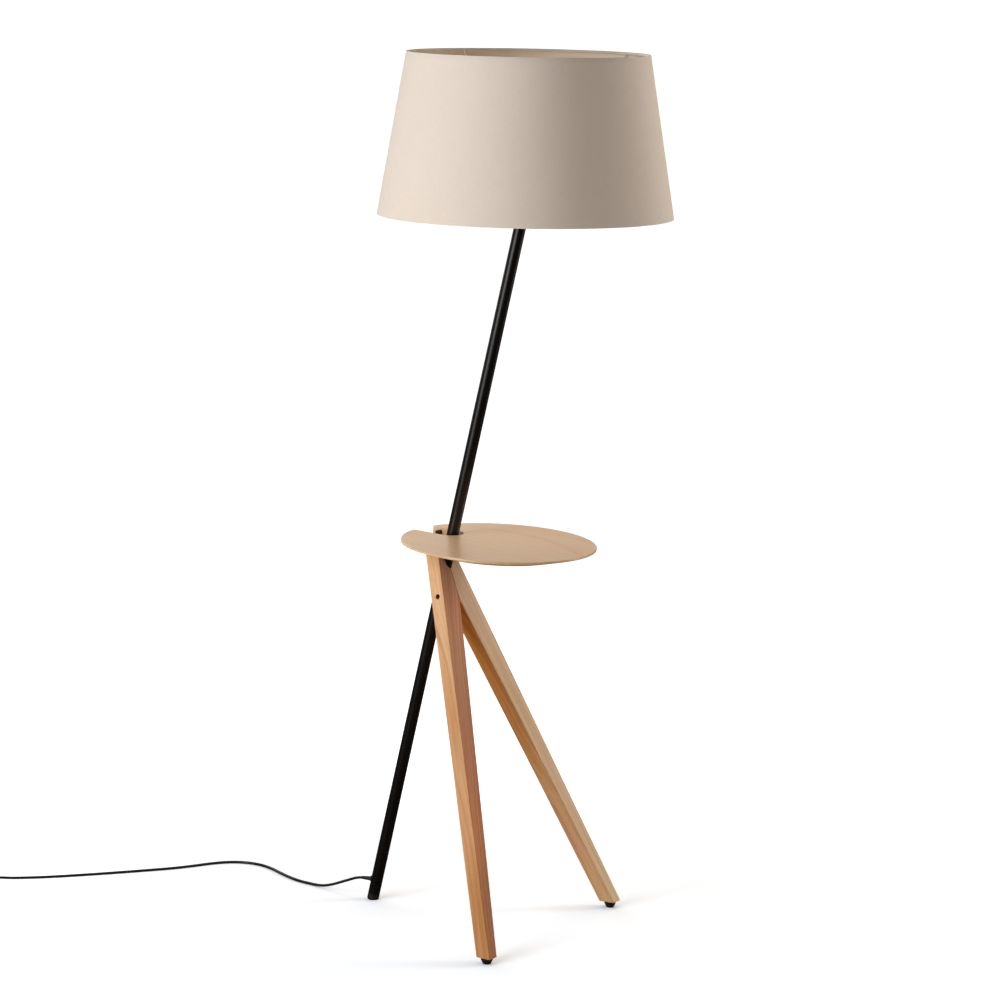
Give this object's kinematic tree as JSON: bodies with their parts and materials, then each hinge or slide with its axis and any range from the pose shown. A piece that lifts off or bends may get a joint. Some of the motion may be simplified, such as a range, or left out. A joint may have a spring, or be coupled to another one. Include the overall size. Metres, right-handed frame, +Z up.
{
  "type": "floor lamp",
  "caption": "Leaning floor lamp: a straight black pole crossing a raked pair of timber legs, a round side table at the crossing and a tapered fabric drum shade.",
  "frame": {"origin": "on the floor, under the middle of the lamp's outline, cord not counted", "axes": "+Z up; +X from the pole's foot towards the two legs' feet, the way the pole leans; +Y to the far leg, as seen with the pole's foot on the left"},
  "size_m": [1.3001, 0.6325, 1.51],
  "materials": {
    "black_steel": "satin black powder coat",
    "black_plastic": "matt",
    "white_pvc": "matt",
    "black_rubber": "matt",
    "leg_oak": "pale oak, matt oiled, end grain at the feet",
    "dowel_beech": "plain",
    "bronzed_steel": "dark, satin",
    "brass": "plain",
    "zinc_steel": "bright zinc",
    "glide_rubber": "matt",
    "table_oak": "pale oak veneer, satin lacquer",
    "black_screw": "black oxide",
    "spacer_rubber": "matt",
    "holder_plastic": "matt",
    "white_wire": "white coated wire",
    "shade_linen": "fine plain weave, unlit",
    "shade_liner": "matt white backing film",
    "bulb_cap_metal": "plain",
    "opal_glass": "opal white",
    "cord_pvc": "satin black sheath",
    "tie_plastic": "matt",
    "switch_plastic": "matt",
    "pedal_plastic": "matt",
    "plug_plastic": "matt",
    "plated_brass": "nickel plate"
  },
  "bodies": {
    "lamp": {"pole_tube": "black_steel", "pole_foot_cap": "black_plastic", "pole_top_elbow": "black_steel", "inner_cable": "white_pvc", "cord_grommet": "black_rubber", "cord_strain_relief": "black_rubber", "near_leg": "leg_oak", "far_leg": "leg_oak", "leg_dowels": "dowel_beech", "leg_bolt": "bronzed_steel", "leg_bolt_nut": "bronzed_steel", "glide_inserts": "brass", "tabletop": "table_oak", "table_bracket": "black_steel", "table_wood_screws": "zinc_steel", "bracket_leg_screws": "black_screw", "bracket_grub_screws": "black_screw", "slot_spacers": "spacer_rubber", "lampholder_nipple": "brass", "nipple_locknut": "brass", "lampholder_cap": "holder_plastic", "lampholder_body": "holder_plastic", "lampholder_thread": "brass", "lampholder_contact": "brass", "shade_ring": "holder_plastic", "shade_spider": "white_wire", "shade_top_ring": "white_wire", "shade_bottom_ring": "white_wire", "shade_fabric": "shade_linen", "shade_liner": "shade_liner", "cord_lead": "cord_pvc", "cord_tail": "cord_pvc", "cord_coil": "cord_pvc", "coil_tie": "tie_plastic", "switch_base": "switch_plastic", "switch_cover": "switch_plastic", "switch_contacts": "brass", "switch_screws": "zinc_steel", "plug_body": "plug_plastic", "plug_pins": "plated_brass"},
    "near_glide": {"near_glide_pad": "glide_rubber"},
    "near_screw": {"near_glide_stud": "zinc_steel"},
    "far_glide": {"far_glide_pad": "glide_rubber"},
    "far_screw": {"far_glide_stud": "zinc_steel"},
    "bulb_tip": {"bulb_contact": "brass"},
    "bulb": {"bulb_screw_cap": "bulb_cap_metal", "bulb_glass": "opal_glass"},
    "pedal": {"switch_pedal": "pedal_plastic"}
  },
  "joints": [
    {"name": "near_glide_travel", "type": "slide", "parent": "lamp", "child": "near_glide", "axis": [0, 0, -1], "range_m": [-0.0025, 0.0075]},
    {"name": "near_glide_turn", "type": "hinge", "parent": "near_glide", "child": "near_screw", "pos_m": [0.1051, -0.205, 0.015], "axis": [0, 0, -1], "range_deg": [-722, 2162]},
    {"name": "far_glide_travel", "type": "slide", "parent": "lamp", "child": "far_glide", "axis": [0, 0, -1], "range_m": [-0.0025, 0.0075]},
    {"name": "far_glide_turn", "type": "hinge", "parent": "far_glide", "child": "far_screw", "pos_m": [0.1051, 0.205, 0.015], "axis": [0, 0, -1], "range_deg": [-722, 2162]},
    {"name": "bulb_travel", "type": "slide", "parent": "lamp", "child": "bulb_tip", "axis": [0, 0, 1], "range_m": [0, 0.0254]},
    {"name": "bulb_turn", "type": "hinge", "parent": "bulb_tip", "child": "bulb", "pos_m": [0.0256, 0, 1.37], "axis": [0, 0, 1], "range_deg": [0, 2522]},
    {"name": "pedal_press", "type": "slide", "parent": "lamp", "child": "pedal", "axis": [0, 0, -1], "range_m": [0, 0.003], "stiffness_N_per_m": 1200, "springref_m": -0.001}
  ],
  "couplings": [
    {"joint": "near_glide_turn", "follows": "near_glide_travel", "rad_per_m": 5026.5},
    {"joint": "far_glide_turn", "follows": "far_glide_travel", "rad_per_m": 5026.5},
    {"joint": "bulb_turn", "follows": "bulb_travel", "rad_per_m": 1731.4}
  ]
}
